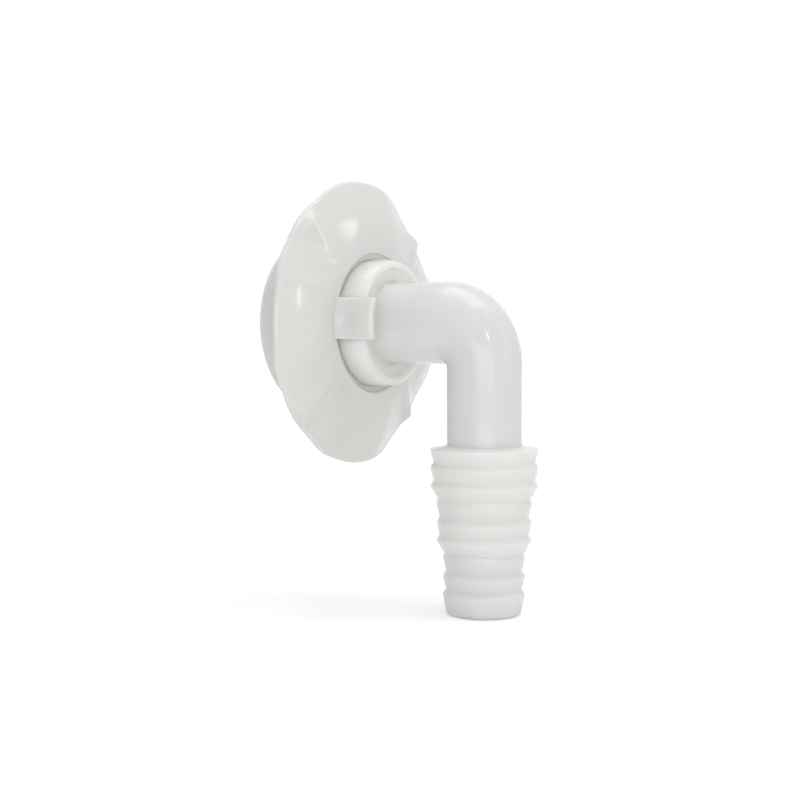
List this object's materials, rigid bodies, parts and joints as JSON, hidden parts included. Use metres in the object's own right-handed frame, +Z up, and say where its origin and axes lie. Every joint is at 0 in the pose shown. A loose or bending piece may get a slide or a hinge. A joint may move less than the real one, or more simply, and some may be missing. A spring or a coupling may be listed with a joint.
{
  "type": "washing machine drain adapter",
  "caption": "Right-angle drain adapter: a captive lobed union nut on a smooth elbow that ends in a stepped, barbed hose tail.",
  "frame": {"origin": "centre of the union nut's open mouth", "axes": "+X along the inlet from the nut's mouth towards the bend, +Z up, and the hose tail points down along -Z"},
  "size_m": [0.0676, 0.0746, 0.1109],
  "materials": {
    "nut_plastic": "semi-gloss white polypropylene, as moulded",
    "elbow_plastic": "semi-gloss white polypropylene, as moulded",
    "washer_rubber": "matt dark grey rubber"
  },
  "bodies": {
    "nut": {"lobed_union_nut": "nut_plastic"},
    "elbow": {"elbow_hose_tail": "elbow_plastic", "sealing_washer": "washer_rubber"}
  },
  "joints": [
    {"name": "elbow_swivel", "type": "hinge", "parent": "nut", "child": "elbow", "pos_m": [0, 0, 0], "axis": [1, 0, 0], "continuous": true}
  ]
}
